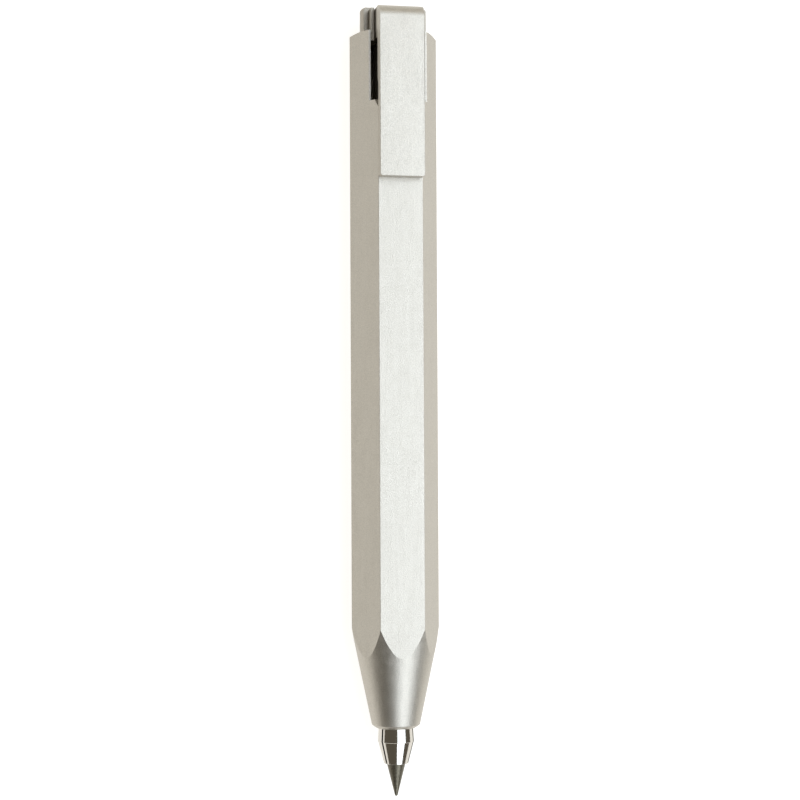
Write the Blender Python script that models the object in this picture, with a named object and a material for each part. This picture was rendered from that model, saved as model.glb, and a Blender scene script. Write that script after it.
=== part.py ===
"""Hexagonal pocket lead holder with a drop clutch and a clip carried by its push button.

The holder lies on one of its flats with the clip on top. Its long axis runs along Y and its
writing end points to -Y. Every piece is described in millimetres by three measures:
  x        sideways from the middle,
  station  along the long axis, counted from the tip of the lead,
  height   above the long axis.
"""

import math

import bmesh
import bpy
from mathutils import Vector

MM = 0.001

# Hexagonal bar
ACROSS_FLATS = 12.0
FLAT_HEIGHT = ACROSS_FLATS / 2
CORNER_RADIUS = FLAT_HEIGHT / math.cos(math.radians(30))
TOTAL_LENGTH = 123.0
RIM = 119.0
RIM_CHAMFER_RADIUS = 5.95
RIM_CHAMFER_ANGLE = math.radians(24)

# Turned nose
NOSE_END = 10.65
NOSE_EDGE = 11.2
NOSE_END_RADIUS = 3.05
NOSE_EDGE_RADIUS = 3.77
NOSE_SLOPE = 0.2095
CLEAR_RADIUS = 7.4

# Bore of the barrel, from the mouth to the rim
MOUTH_RADIUS = 2.9
MOUTH_STEP = 11.0
NOSE_BORE = 3.3
SPRING_SHOULDER = 26.0
MAIN_BORE = 4.3
BUSH_SHOULDER = 98.0
REAR_BORE = 5.25

# Slot in the upper flat
SLOT_HALF_WIDTH = 4.3
SLOT_END = 107.9
SLOT_FLOOR = 1.0
RAMP_HEIGHT = 5.2
RAMP_TOP = 8.0
RAMP_RUN = 1.3 / 0.8
LAND_HALF_WIDTH = 4.8
LAND_HEIGHT = 4.05

# Lead and jaws
LEAD_RADIUS = 1.575
LEAD_LENGTH = 90.0
LEAD_TIP_RADIUS = 0.226
LEAD_SLOPE = 0.2432
JAW_GAP = 0.045
JAW_COUNT = 3
JAW_FRONT = 5.1
JAW_ROOT = 22.0
JAW_HINGE_RADIUS = 1.95
JAW_SLIT_ANGLE = math.radians(8)
SEAT_END = 13.65
SEAT_END_RADIUS = 2.3
SEAT_RADIUS = 2.72
SEAT_GAP = 0.04
STEM_RADIUS = 2.05
ROOT_RADIUS = 2.35

# Sleeve, tube and spring
SLEEVE_RADIUS = 3.1
SLEEVE_BORE = 2.3
SLEEVE_FRONT = 38.3
SLEEVE_REAR = 117.3
RING_GROOVE = 45.5
RING_WIDTH = 0.6
TUBE_RADIUS = 2.2
TUBE_BORE = 1.75
TUBE_FRONT = 31.2
TUBE_REAR = 112.0
COLLET_RADIUS = 2.8
SPRING_RADIUS = 3.55
SPRING_WIRE = 0.25
SPRING_TURNS = 7
SPRING_FRONT = 26.9
SPRING_REAR = 42.85

# Button and clip
BUTTON_RADIUS = 5.2
BUTTON_FRONT = 117.4
BUTTON_FLAT = 1.6
CHEEK_HALF_WIDTH = 4.17
CHEEK_HEIGHT = 3.8
CHEEK_REAR = 122.5
SPIGOT_RADIUS = 2.2
SPIGOT_FRONT = 113.0
POCKET_HALF_WIDTH = 3.6
POCKET_FLOOR = 0.7
SCREW_STATION = 115.0
CLIP_HALF_WIDTH = 3.5
CLIP_TOP = 7.74
CLIP_BLADE = 6.06
CLIP_SLOT_FACE = 5.55
CLIP_END = 95.8
CLIP_REAR = 122.4
CLIP_BEND = 1.6
HEAD_FRONT = 117.6
HEAD_FLOOR = 1.1
PIN_STATION = 118.5
PIN_HEIGHT = 1.8
PIN_RADIUS = 0.5
PIN_HALF_LENGTH = 4.1

ROUND = 48
FINE_ROUND = 64


def at(x, station, height):
    """World position, in metres, of a point given in millimetres."""
    return Vector((x, station - TOTAL_LENGTH / 2, height + FLAT_HEIGHT)) * MM


def finish(name, colour, roughness, metallic):
    """Plain Principled material."""
    material = bpy.data.materials.new(name)
    material.use_nodes = True
    shader = material.node_tree.nodes["Principled BSDF"]
    shader.inputs["Base Color"].default_value = (*colour, 1.0)
    shader.inputs["Roughness"].default_value = roughness
    shader.inputs["Metallic"].default_value = metallic
    material.diffuse_color = (*colour, 1.0)
    return material


def add_object(name, bm, material, origin=(0.0, TOTAL_LENGTH / 2, 0.0)):
    """Turns a bmesh in world metres into an object whose origin is at the given point."""
    place = at(*origin)
    bmesh.ops.translate(bm, verts=bm.verts, vec=-place)
    bmesh.ops.recalc_face_normals(bm, faces=bm.faces)
    mesh = bpy.data.meshes.new(name)
    bm.to_mesh(mesh)
    bm.free()
    mesh.shade_smooth()
    mesh.set_sharp_from_angle(angle=math.radians(30))
    piece = bpy.data.objects.new(name, mesh)
    piece.location = place
    bpy.context.collection.objects.link(piece)
    if material:
        mesh.materials.append(material)
    return piece


def turned(name, profile, material, steps=ROUND, start=0.0, sweep=math.tau, origin=None):
    """Solid turned about the long axis from a closed outline of (station, radius) points."""
    bm = bmesh.new()
    full = sweep > math.tau - 1e-6
    on_axis = {i: bm.verts.new(at(0, s, 0)) for i, (s, r) in enumerate(profile) if r == 0}
    rings = []
    for step in range(steps if full else steps + 1):
        angle = start + sweep * step / steps
        ring = []
        for i, (station, radius) in enumerate(profile):
            spot = at(radius * math.cos(angle), station, radius * math.sin(angle))
            ring.append(on_axis[i] if i in on_axis else bm.verts.new(spot))
        rings.append(ring)
    for step in range(steps):
        here = rings[step]
        there = rings[(step + 1) % len(rings)]
        for i, _ in enumerate(profile):
            j = (i + 1) % len(profile)
            corners = list(dict.fromkeys((here[i], here[j], there[j], there[i])))
            if len(corners) > 2:
                bm.faces.new(corners)
    if not full:
        bm.faces.new(rings[0])
        bm.faces.new(rings[-1])
    return add_object(name, bm, material, origin or (0.0, TOTAL_LENGTH / 2, 0.0))


def extruded(name, outline, half_width, material=None, origin=None):
    """Prism across the holder from a closed outline of (station, height) points."""
    bm = bmesh.new()
    side = [bm.verts.new(at(-half_width, s, h)) for s, h in outline]
    face = bm.faces.new(side)
    swept = bmesh.ops.extrude_face_region(bm, geom=[face])
    moved = [item for item in swept["geom"] if isinstance(item, bmesh.types.BMVert)]
    bmesh.ops.translate(bm, verts=moved, vec=(2 * half_width * MM, 0, 0))
    return add_object(name, bm, material, origin or (0.0, TOTAL_LENGTH / 2, 0.0))


def box(name, half_width, stations, heights):
    """Box centred sideways, used as a cutter."""
    (s0, s1), (h0, h1) = stations, heights
    return extruded(name, [(s0, h0), (s1, h0), (s1, h1), (s0, h1)], half_width)


def rod(name, ends, radius, material=None, origin=None, steps=24):
    """Cylinder between two (x, station, height) points."""
    foot, head = (at(*end) for end in ends)
    turn = (head - foot).to_track_quat("Z", "Y").to_matrix().to_4x4()
    turn.translation = (foot + head) / 2
    bm = bmesh.new()
    bmesh.ops.create_cone(bm, cap_ends=True, segments=steps, radius1=radius * MM,
                          radius2=radius * MM, depth=(head - foot).length, matrix=turn)
    return add_object(name, bm, material, origin or (0.0, TOTAL_LENGTH / 2, 0.0))


def combine(piece, cutter, operation="DIFFERENCE"):
    """Boolean of a piece with a hidden cutter."""
    modifier = piece.modifiers.new(cutter.name, "BOOLEAN")
    modifier.operation = operation
    modifier.solver = "EXACT"
    modifier.object = cutter
    cutter.hide_render = True
    cutter.display_type = "WIRE"


def make_barrel(aluminium):
    """Hexagonal bar turned to a cone at the nose, bored through and slotted for the clip.

    A level land runs along both edges of the slot.
    """
    bm = bmesh.new()
    corners = [(CORNER_RADIUS * math.cos(math.radians(60 * k)),
                CORNER_RADIUS * math.sin(math.radians(60 * k))) for k in range(6)]
    face = bm.faces.new([bm.verts.new(at(x, NOSE_END - 1, h)) for x, h in corners])
    swept = bmesh.ops.extrude_face_region(bm, geom=[face])
    moved = [item for item in swept["geom"] if isinstance(item, bmesh.types.BMVert)]
    bmesh.ops.translate(bm, verts=moved, vec=(0, (RIM + 2 - NOSE_END) * MM, 0))
    barrel = add_object("barrel", bm, aluminium)

    cone_run = (CLEAR_RADIUS - NOSE_EDGE_RADIUS) / NOSE_SLOPE
    chamfer_run = (CLEAR_RADIUS - RIM_CHAMFER_RADIUS) * math.tan(RIM_CHAMFER_ANGLE)
    outside = [(NOSE_END, 0), (NOSE_END, NOSE_END_RADIUS), (NOSE_EDGE, NOSE_EDGE_RADIUS),
               (NOSE_EDGE + cone_run, CLEAR_RADIUS), (RIM - chamfer_run, CLEAR_RADIUS),
               (RIM, RIM_CHAMFER_RADIUS), (RIM, 0)]
    combine(barrel, turned("turned_outside", outside, None, FINE_ROUND), "INTERSECT")

    past_nose = NOSE_END - 2
    past_rim = RIM + 3
    bore = [(past_nose, 0), (past_nose, MOUTH_RADIUS), (MOUTH_STEP, MOUTH_RADIUS),
            (MOUTH_STEP, NOSE_BORE), (SPRING_SHOULDER, NOSE_BORE),
            (SPRING_SHOULDER, MAIN_BORE), (BUSH_SHOULDER, MAIN_BORE),
            (BUSH_SHOULDER, REAR_BORE), (past_rim, REAR_BORE), (past_rim, 0)]
    combine(barrel, turned("bore", bore, None))

    ramp_end = SLOT_END - (RAMP_TOP - RAMP_HEIGHT) * RAMP_RUN
    slot = [(past_rim, SLOT_FLOOR), (SLOT_END, SLOT_FLOOR), (SLOT_END, RAMP_HEIGHT),
            (ramp_end, RAMP_TOP), (past_rim, RAMP_TOP)]
    combine(barrel, extruded("slot", slot, SLOT_HALF_WIDTH))
    level = box("slot_land", LAND_HALF_WIDTH, (SLOT_END, past_rim), (LAND_HEIGHT, RAMP_TOP))
    combine(barrel, level)


def make_barrel_fittings(steel, brass):
    """Ring, washer and bush that stay in the barrel."""
    slope = (SEAT_RADIUS - SEAT_END_RADIUS) / (SEAT_END - NOSE_END)
    front = MOUTH_STEP + 0.03
    front_radius = SEAT_RADIUS - slope * (front - NOSE_END) + SEAT_GAP
    throat = SEAT_END_RADIUS + SEAT_GAP
    ring = [(front, front_radius), (front, NOSE_BORE - 0.03), (14.5, NOSE_BORE - 0.03),
            (14.5, 2.6), (14.0, throat), (SEAT_END, throat)]
    turned("closing_ring", ring, steel)

    seat = SPRING_SHOULDER + 0.03
    washer = [(seat, COLLET_RADIUS + 0.1), (seat, MAIN_BORE - 0.05),
              (seat + 0.55, MAIN_BORE - 0.05), (seat + 0.55, COLLET_RADIUS + 0.1)]
    turned("spring_seat", washer, steel)

    front = BUSH_SHOULDER + 0.03
    rear = front + 3.2
    bush = [(front, SLEEVE_RADIUS + 0.05), (front, REAR_BORE - 0.05),
            (rear, REAR_BORE - 0.05), (rear, SLEEVE_RADIUS + 0.05)]
    turned("guide_bush", bush, brass)
    snap_ring("bush_ring", rear + 0.05, 4.2, REAR_BORE - 0.05, steel)


def snap_ring(name, front, inner, outer, material):
    """Open retaining ring of square section."""
    section = [(front, inner), (front, outer), (front + RING_WIDTH, outer),
               (front + RING_WIDTH, inner)]
    gap = math.radians(50)
    turned(name, section, material, 40, gap / 2 - math.pi / 2, math.tau - gap)


def make_jaws(nickel):
    """Three jaws whose cone is drawn into the closing ring, each hinged at its root."""
    bore = LEAD_RADIUS + JAW_GAP
    section = [(JAW_FRONT, bore), (JAW_FRONT, 1.9), (8.5, 2.8), (8.55, 2.85),
               (NOSE_END, SEAT_RADIUS), (SEAT_END, SEAT_END_RADIUS), (14.2, STEM_RADIUS),
               (19.5, STEM_RADIUS), (20.2, ROOT_RADIUS), (JAW_ROOT, ROOT_RADIUS),
               (JAW_ROOT, TUBE_BORE), (11.6, TUBE_BORE), (11.0, bore)]
    sector = math.tau / JAW_COUNT
    for number in range(JAW_COUNT):
        middle = math.pi / 2 + sector * number
        hinge = (JAW_HINGE_RADIUS * math.cos(middle), JAW_ROOT,
                 JAW_HINGE_RADIUS * math.sin(middle))
        turned(f"jaw_{number + 1}", section, nickel, ROUND // JAW_COUNT,
               middle - (sector - JAW_SLIT_ANGLE) / 2, sector - JAW_SLIT_ANGLE, hinge)


def make_lead(graphite):
    """Long round lead with a conical point and a tiny round end."""
    full = (LEAD_RADIUS - LEAD_TIP_RADIUS) / LEAD_SLOPE
    point = [(0, 0), (0.06, 0.6 * LEAD_TIP_RADIUS), (0.17, LEAD_TIP_RADIUS + 0.17 * LEAD_SLOPE)]
    body = [(full, LEAD_RADIUS), (LEAD_LENGTH, LEAD_RADIUS), (LEAD_LENGTH, 0)]
    turned("lead", point + body, graphite, 36)


def make_push_unit(dark, nickel, brass, steel):
    """Everything between the jaws and the button that slides as one."""
    root = JAW_ROOT + 0.1
    collet = [(root, TUBE_BORE - 0.03), (root, ROOT_RADIUS), (24.0, ROOT_RADIUS),
              (24.2, COLLET_RADIUS), (SLEEVE_FRONT - 0.3, COLLET_RADIUS),
              (SLEEVE_FRONT - 0.3, TUBE_RADIUS + 0.05), (TUBE_FRONT - 0.2, TUBE_RADIUS + 0.05),
              (TUBE_FRONT - 0.2, TUBE_BORE - 0.03)]
    turned("collet_sleeve", collet, nickel)

    tube = [(TUBE_FRONT, TUBE_BORE), (TUBE_FRONT, TUBE_RADIUS), (TUBE_REAR, TUBE_RADIUS),
            (TUBE_REAR, TUBE_BORE)]
    turned("lead_tube", tube, brass, 36)

    groove = SLEEVE_RADIUS - 0.2
    groove_rear = RING_GROOVE + RING_WIDTH + 0.1
    sleeve = [(SLEEVE_FRONT, SLEEVE_BORE), (SLEEVE_FRONT, SLEEVE_RADIUS),
              (RING_GROOVE - 0.05, SLEEVE_RADIUS), (RING_GROOVE - 0.05, groove),
              (groove_rear, groove), (groove_rear, SLEEVE_RADIUS),
              (SLEEVE_REAR, SLEEVE_RADIUS), (SLEEVE_REAR, SLEEVE_BORE)]
    push_sleeve = turned("push_sleeve", sleeve, dark)
    screw_hole = rod("screw_hole", [(0, SCREW_STATION, -4), (0, SCREW_STATION, -1.2)], 0.55)
    combine(push_sleeve, screw_hole)

    slip = SLEEVE_RADIUS + 0.03
    washer = [(43.15, slip), (43.15, 4.1), (43.55, 4.1), (43.55, slip)]
    turned("thrust_washer", washer, steel)
    collar = [(43.6, slip), (43.6, 4.15), (45.2, 4.15), (45.4, 3.95), (45.4, slip)]
    turned("spring_collar", collar, brass)
    snap_ring("collar_ring", RING_GROOVE, groove + 0.03, 3.75, steel)
    stop = [(105.1, slip), (105.1, 4.4), (105.3, 4.6), (107.0, 4.6), (107.0, slip)]
    turned("stop_collar", stop, brass)

    ends = [(0, SCREW_STATION, -3.05), (0, SCREW_STATION, -1.3)]
    rod("button_screw", ends, 0.5, steel)
    return screw_hole


def make_spring(steel):
    """Round wire wound about the sleeve, one closed tube."""
    per_turn = 14
    sides = 6
    points = SPRING_TURNS * per_turn
    bm = bmesh.new()
    rings = []
    for k in range(points + 1):
        angle = math.tau * k / per_turn
        station = SPRING_FRONT + (SPRING_REAR - SPRING_FRONT) * k / points
        ring = []
        for side in range(sides):
            around = math.tau * side / sides
            radius = SPRING_RADIUS + SPRING_WIRE * math.cos(around)
            along = station + SPRING_WIRE * math.sin(around)
            ring.append(bm.verts.new(at(radius * math.cos(angle), along, radius * math.sin(angle))))
        rings.append(ring)
    for here, there in zip(rings, rings[1:]):
        for side in range(sides):
            after = (side + 1) % sides
            bm.faces.new((here[side], here[after], there[after], there[side]))
    bm.faces.new(rings[0])
    bm.faces.new(rings[-1])
    add_object("return_spring", bm, steel)


def make_button(aluminium, screw_hole):
    """Round button with a flat, two cheeks beside the clip's head and a spigot for the sleeve."""
    outline = [(SPIGOT_FRONT, 0), (SPIGOT_FRONT, SPIGOT_RADIUS), (BUTTON_FRONT, SPIGOT_RADIUS),
               (BUTTON_FRONT, BUTTON_RADIUS), (TOTAL_LENGTH - 0.3, BUTTON_RADIUS),
               (TOTAL_LENGTH, BUTTON_RADIUS - 0.3), (TOTAL_LENGTH, 0)]
    button = turned("button", outline, aluminium)
    above = (BUTTON_FRONT - 0.6, TOTAL_LENGTH + 1)
    combine(button, box("button_flat", 7.0, above, (BUTTON_FLAT, 8.0)))
    cheeks = (BUTTON_FRONT, CHEEK_REAR)
    combine(button, box("button_cheeks", CHEEK_HALF_WIDTH, cheeks, (0.0, CHEEK_HEIGHT)), "UNION")
    pocket = (BUTTON_FRONT - 0.05, TOTAL_LENGTH + 1)
    combine(button, box("button_pocket", POCKET_HALF_WIDTH, pocket, (POCKET_FLOOR, 8.0)))
    hole = [(-6, PIN_STATION, PIN_HEIGHT), (6, PIN_STATION, PIN_HEIGHT)]
    combine(button, rod("button_pin_hole", hole, PIN_RADIUS + 0.02))
    combine(button, screw_hole)


def make_clip(aluminium, steel):
    """Clip on its cross pin, with the leaf spring behind its head."""
    hinge = (0.0, PIN_STATION, PIN_HEIGHT)
    bend = [(CLIP_REAR - CLIP_BEND * (1 - math.sin(turn)), CLIP_TOP - CLIP_BEND * (1 - math.cos(turn)))
            for turn in (math.radians(18 * k) for k in range(6))]
    outline = [(CLIP_END, CLIP_BLADE), (CLIP_END, CLIP_TOP - 0.2), (CLIP_END + 0.2, CLIP_TOP),
               *bend, (CLIP_REAR, HEAD_FLOOR), (HEAD_FRONT, HEAD_FLOOR),
               (HEAD_FRONT, CLIP_SLOT_FACE), (111.3, CLIP_SLOT_FACE), (110.3, CLIP_BLADE)]
    clip = extruded("clip", outline, CLIP_HALF_WIDTH, aluminium, hinge)
    ends = [(-5, PIN_STATION, PIN_HEIGHT), (5, PIN_STATION, PIN_HEIGHT)]
    combine(clip, rod("clip_pin_hole", ends, PIN_RADIUS + 0.05))

    ends = [(side * PIN_HALF_LENGTH, PIN_STATION, PIN_HEIGHT) for side in (-1, 1)]
    rod("clip_pin", ends, PIN_RADIUS, steel, hinge)

    front, rear, thickness, rise = 119.8, 122.2, 0.12, 0.16
    low = POCKET_FLOOR + 0.03
    bow = [(front + (rear - front) * k / 6, rise * math.sin(math.pi * k / 6)) for k in range(7)]
    leaf = [(s, low + h) for s, h in bow] + [(s, low + thickness + h) for s, h in reversed(bow)]
    extruded("clip_spring", leaf, 2.5, steel)


def main():
    for old in list(bpy.data.objects):
        bpy.data.objects.remove(old)
    aluminium = finish("matte_aluminium", (0.72, 0.71, 0.68), 0.42, 1.0)
    nickel = finish("polished_nickel", (0.62, 0.58, 0.52), 0.12, 1.0)
    steel = finish("spring_steel", (0.56, 0.57, 0.58), 0.25, 1.0)
    brass = finish("brass", (0.75, 0.58, 0.28), 0.3, 1.0)
    dark = finish("dark_sleeve", (0.05, 0.05, 0.05), 0.45, 0.0)
    graphite = finish("graphite", (0.12, 0.12, 0.13), 0.4, 0.3)

    make_barrel(aluminium)
    make_barrel_fittings(steel, brass)
    make_jaws(nickel)
    make_lead(graphite)
    screw_hole = make_push_unit(dark, nickel, brass, steel)
    make_spring(steel)
    make_button(aluminium, screw_hole)
    make_clip(aluminium, steel)


main()
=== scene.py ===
"""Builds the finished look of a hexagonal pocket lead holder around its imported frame.

Every piece is described by its station (millimetres along the long axis from the lead's tip at
rest), its distance from that axis, and its sideways place x. +Y runs from the tip to the button.
"""

import math

import bmesh
import bpy
from bpy.props import FloatProperty, FloatVectorProperty, IntProperty, PointerProperty
from bpy.types import Operator, Panel, PropertyGroup
from mathutils import Matrix, Vector


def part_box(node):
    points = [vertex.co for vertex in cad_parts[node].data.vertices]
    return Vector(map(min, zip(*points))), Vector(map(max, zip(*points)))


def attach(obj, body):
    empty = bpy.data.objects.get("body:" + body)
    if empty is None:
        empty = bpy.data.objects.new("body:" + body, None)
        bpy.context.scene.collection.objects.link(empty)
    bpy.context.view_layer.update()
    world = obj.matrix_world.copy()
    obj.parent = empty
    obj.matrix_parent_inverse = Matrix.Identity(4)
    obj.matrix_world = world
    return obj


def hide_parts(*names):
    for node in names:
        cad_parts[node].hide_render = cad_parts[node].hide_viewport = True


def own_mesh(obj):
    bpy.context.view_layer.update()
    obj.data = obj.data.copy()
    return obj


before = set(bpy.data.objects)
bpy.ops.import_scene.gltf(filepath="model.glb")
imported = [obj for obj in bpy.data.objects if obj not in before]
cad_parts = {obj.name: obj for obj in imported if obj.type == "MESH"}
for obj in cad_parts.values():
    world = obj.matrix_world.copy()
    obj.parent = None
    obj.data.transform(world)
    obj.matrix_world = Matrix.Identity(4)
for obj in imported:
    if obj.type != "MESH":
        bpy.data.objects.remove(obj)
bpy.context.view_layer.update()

bl_info = {
    "name": "Lead holder looks",
    "version": (1, 0, 0),
    "blender": (4, 5, 0),
    "location": "3D View > Sidebar > Lead holder",
    "description": "Fine meshes, metal finishes and a light table for a pocket lead holder",
    "category": "Object",
}

MM = 0.001

BARREL_LOW, BARREL_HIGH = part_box("barrel")
CLIP_LOW, CLIP_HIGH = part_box("clip")
BUTTON_LOW, BUTTON_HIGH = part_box("button")
LEAD_LOW, LEAD_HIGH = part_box("lead")
TIP_Y = LEAD_LOW.y
AXIS_Z = (LEAD_LOW.z + LEAD_HIGH.z) / 2


def station_of(y):
    """Station, in millimetres, of a place along Y."""
    return (y - TIP_Y) / MM


# Barrel
FLAT = (BARREL_HIGH.z - AXIS_Z) / MM
CORNER = FLAT / math.cos(math.radians(30))
NOSE_END = station_of(BARREL_LOW.y)
RIM = station_of(BARREL_HIGH.y)
NOSE_SLOPE = 0.2095
NOSE_EDGE = 0.55
NOSE_RADII = (3.05, 3.77)
NOSE_LIP = (0.12, 0.08)
NOSE_ROUND = 0.15
CONE_START = 8.0
CLEAR = 7.4
RIM_FACE = 5.95
RIM_ANGLE = math.radians(24)
RIM_ROUND = 0.12
RIM_LEAD_IN = 0.15
OVERSHOOT = 3.0
MOUTH = 2.9
MOUTH_STEP = 11.0
NOSE_BORE = 3.3
SPRING_SHOULDER = 26.0
MAIN_BORE = 4.3
BUSH_SHOULDER = 98.0
REAR_BORE = 5.25
SLOT_HALF = 4.3
SLOT_END = 107.9
SLOT_FLOOR = 1.0
SLOT_CORNER = 0.4
LAND_HALF = 4.8
LAND_HEIGHT = 4.05
RAMP = (5.2, 8.0)
RAMP_RUN = 1.625

# Clip and button
CLIP_HALF = 3.5
CLIP_FACE = (CLIP_HIGH.z - AXIS_Z) / MM
CLIP_END = station_of(CLIP_LOW.y)
CLIP_REAR = station_of(CLIP_HIGH.y)
CLIP_BACK = (CLIP_LOW.z - AXIS_Z) / MM
BLADE_BACK = 6.06
HEAD_FRONT = 117.6
HEAD_STEP = 5.55
BLADE_STEP = (110.3, 111.3)
PIN_STATION = 118.5
PIN_HEIGHT = 1.8
PIN_RADIUS = 0.5
PIN_HALF = 4.1
LEAF_ENDS = (119.8, 122.2)
LEAF_THICKNESS = 0.12
LEAF_RISE = 0.16
LEAF_HALF = 2.5
LEAF_STEPS = 24
BUTTON_RADIUS = BUTTON_HIGH.x / MM
BUTTON_REAR = station_of(BUTTON_HIGH.y)
BUTTON_FRONT = 117.4
SPIGOT_FRONT = station_of(BUTTON_LOW.y)
SPIGOT_RADIUS = 2.2
BUTTON_FLAT = 1.6
CHEEK_HALF = 4.17
CHEEK_TOP = 3.8
CHEEK_REAR = 122.5
POCKET_HALF = 3.66
POCKET_FLOOR = 0.7
SCREW_STATION = 115.0
SCREW_RADIUS = 0.5
SCREW_ENDS = (-3.05, -1.3)
SCREW_HOLE = 0.55
SCREW_HOLE_ENDS = (-4.0, -1.2)
SOCKET_RADIUS = 0.26
SOCKET_ENDS = (-3.4, -2.4)

# Clutch, sleeve and spring
LEAD_RADIUS = LEAD_HIGH.x / MM
LEAD_REAR = station_of(LEAD_HIGH.y)
TIP_RADIUS = 0.226
POINT_SLOPE = 0.2432
POINT_TURN = math.radians(76)
JAW_FRONT = 5.1
JAW_BORE = LEAD_RADIUS + 0.045
JAW_TIP = 1.9
JAW_EDGE = 2.85
SEAT_RADIUS = 2.72
SEAT_END = 13.65
SEAT_END_RADIUS = 2.3
STEM_RADIUS = 2.05
JAW_ROOT = 22.0
ROOT_RADIUS = 2.35
JAW_COUNT = 3
JAW_SLIT = 0.34
TUBE_RADIUS = 2.2
TUBE_BORE = 1.75
TUBE_ENDS = (31.2, 112.0)
SLEEVE_RADIUS = 3.1
SLEEVE_BORE = 2.3
SLEEVE_ENDS = (38.3, 117.3)
RING_GROOVE = (45.45, 46.2)
GROOVE_RADIUS = 2.9
ON_SLEEVE = 3.13
SPRING_RADIUS = 3.55
SPRING_WIRE = 0.25
SPRING_TURNS = 8
CLOSED_TURN = 2 * SPRING_WIRE * 1.04
SPRING_FRONT, SPRING_REAR = (station_of(corner.y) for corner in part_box("return_spring"))

# Lights, in metres
LIGHT_DISTANCE = 0.6
KEY_LEAN = math.radians(25)
KEY_SIZE = (0.58, 1.5)
KEY_SLIDE = -0.285
KEY_COLOUR = (0.90, 1.0, 1.13)
REAR_TILT = math.radians(62)
REAR_SIZE = (0.5, 0.45)
REAR_COLOUR = (1.0, 0.97, 0.9)
ROOM_COLOUR = (1.0, 0.9, 0.72, 1.0)
TABLE_HALF = 2.5
TABLE_COLOUR = (0.25, 0.25, 0.245, 1.0)
TABLE_GLOW = (1.0, 0.985, 0.95, 1.0)


# ---------------------------------------------------------------- settings

class HolderSizes(PropertyGroup):
    """Roundings and fineness of the meshes"""
    corner_round: FloatProperty(
        name="Corner rounding", description="Radius of the hexagon's long corners",
        default=0.00006, min=0.00002, max=0.0005, precision=5, unit="LENGTH")
    edge_round: FloatProperty(
        name="Edge rounding", description="Radius of the machined edges",
        default=0.00008, min=0.00001, max=0.0003, precision=5, unit="LENGTH")
    clip_bend: FloatProperty(
        name="Clip bend", description="Outer radius of the bend at the clip's rear end",
        default=0.0019, min=0.0005, max=0.003, precision=4, unit="LENGTH")
    clip_corner: FloatProperty(
        name="Clip corner", description="Radius of the two corners at the clip's free end",
        default=0.0004, min=0.0001, max=0.001, precision=5, unit="LENGTH")
    round_steps: IntProperty(
        name="Round steps", description="Faces around a turned piece that shows",
        default=192, min=48, max=360)
    hidden_steps: IntProperty(
        name="Hidden round steps", description="Faces around a turned piece inside the barrel",
        default=96, min=24, max=240)


class HolderColours(PropertyGroup):
    """Base colours of the finishes"""
    aluminium: FloatVectorProperty(
        name="Aluminium", description="Blasted and clear-anodised aluminium",
        default=(0.507, 0.47, 0.406), subtype="COLOR", min=0, max=1)
    # Painted shade: the button's colour is kept darker than the aluminium. It stands in for the shade of
    # the clip's head and of the table beside the holder, which the glowing table does not give.
    button: FloatVectorProperty(
        name="Button", description="Blasted aluminium of the button, anodised a little darker",
        default=(0.345, 0.31, 0.255), subtype="COLOR", min=0, max=1)
    nickel: FloatVectorProperty(
        name="Nickel", description="Polished nickel plate on the jaws",
        default=(0.78, 0.73, 0.66), subtype="COLOR", min=0, max=1)
    steel: FloatVectorProperty(
        name="Steel", description="Spring wire, rings and pins",
        default=(0.56, 0.57, 0.58), subtype="COLOR", min=0, max=1)
    brass: FloatVectorProperty(
        name="Brass", description="Turned brass inside the barrel",
        default=(0.78, 0.57, 0.24), subtype="COLOR", min=0, max=1)
    graphite: FloatVectorProperty(
        name="Graphite", description="Ground lead",
        default=(0.125, 0.108, 0.075), subtype="COLOR", min=0, max=1)
    sleeve: FloatVectorProperty(
        name="Dark sleeve", description="Black anodised push sleeve",
        default=(0.22, 0.21, 0.185), subtype="COLOR", min=0, max=1)


class HolderStage(PropertyGroup):
    """Camera and lights"""
    camera_distance: FloatProperty(
        name="Camera distance", description="From the camera to the holder's axis",
        default=0.297, min=0.1, max=2.0, precision=4, unit="LENGTH")
    camera_lean: FloatProperty(
        name="Camera lean", description="How far the camera leans from straight above to -X",
        default=math.radians(11.0), subtype="ANGLE")
    camera_roll: FloatProperty(
        name="Camera roll", description="Turn of the camera about its line of sight",
        default=math.radians(-0.265), subtype="ANGLE")
    foot_station: FloatProperty(
        name="Camera foot", description="Station, in mm, straight under the camera",
        default=53.0)
    frame_height: FloatProperty(
        name="Frame height", description="Length of the holder's axis that the camera takes in",
        default=0.12527, precision=5, unit="LENGTH")
    aim_station: FloatProperty(
        name="Camera aim", description="Station, in mm, that the camera is aimed at",
        default=61.66)
    side_step: FloatProperty(
        name="Side step", description="How far the camera stands to the right of the holder",
        default=0.00086, precision=5, unit="LENGTH")
    key_light: FloatProperty(
        name="Key brightness", description="Radiance of the large softbox", default=2.8)
    rear_light: FloatProperty(
        name="Rear brightness", description="Radiance of the low softbox behind the button",
        default=0.9)
    floor_glow: FloatProperty(
        name="Floor glow", description="Light that the table gives from below", default=0.95)
    room_light: FloatProperty(
        name="Room light", description="Strength of the dim warm room", default=0.13)


# ---------------------------------------------------------------- outlines

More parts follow.
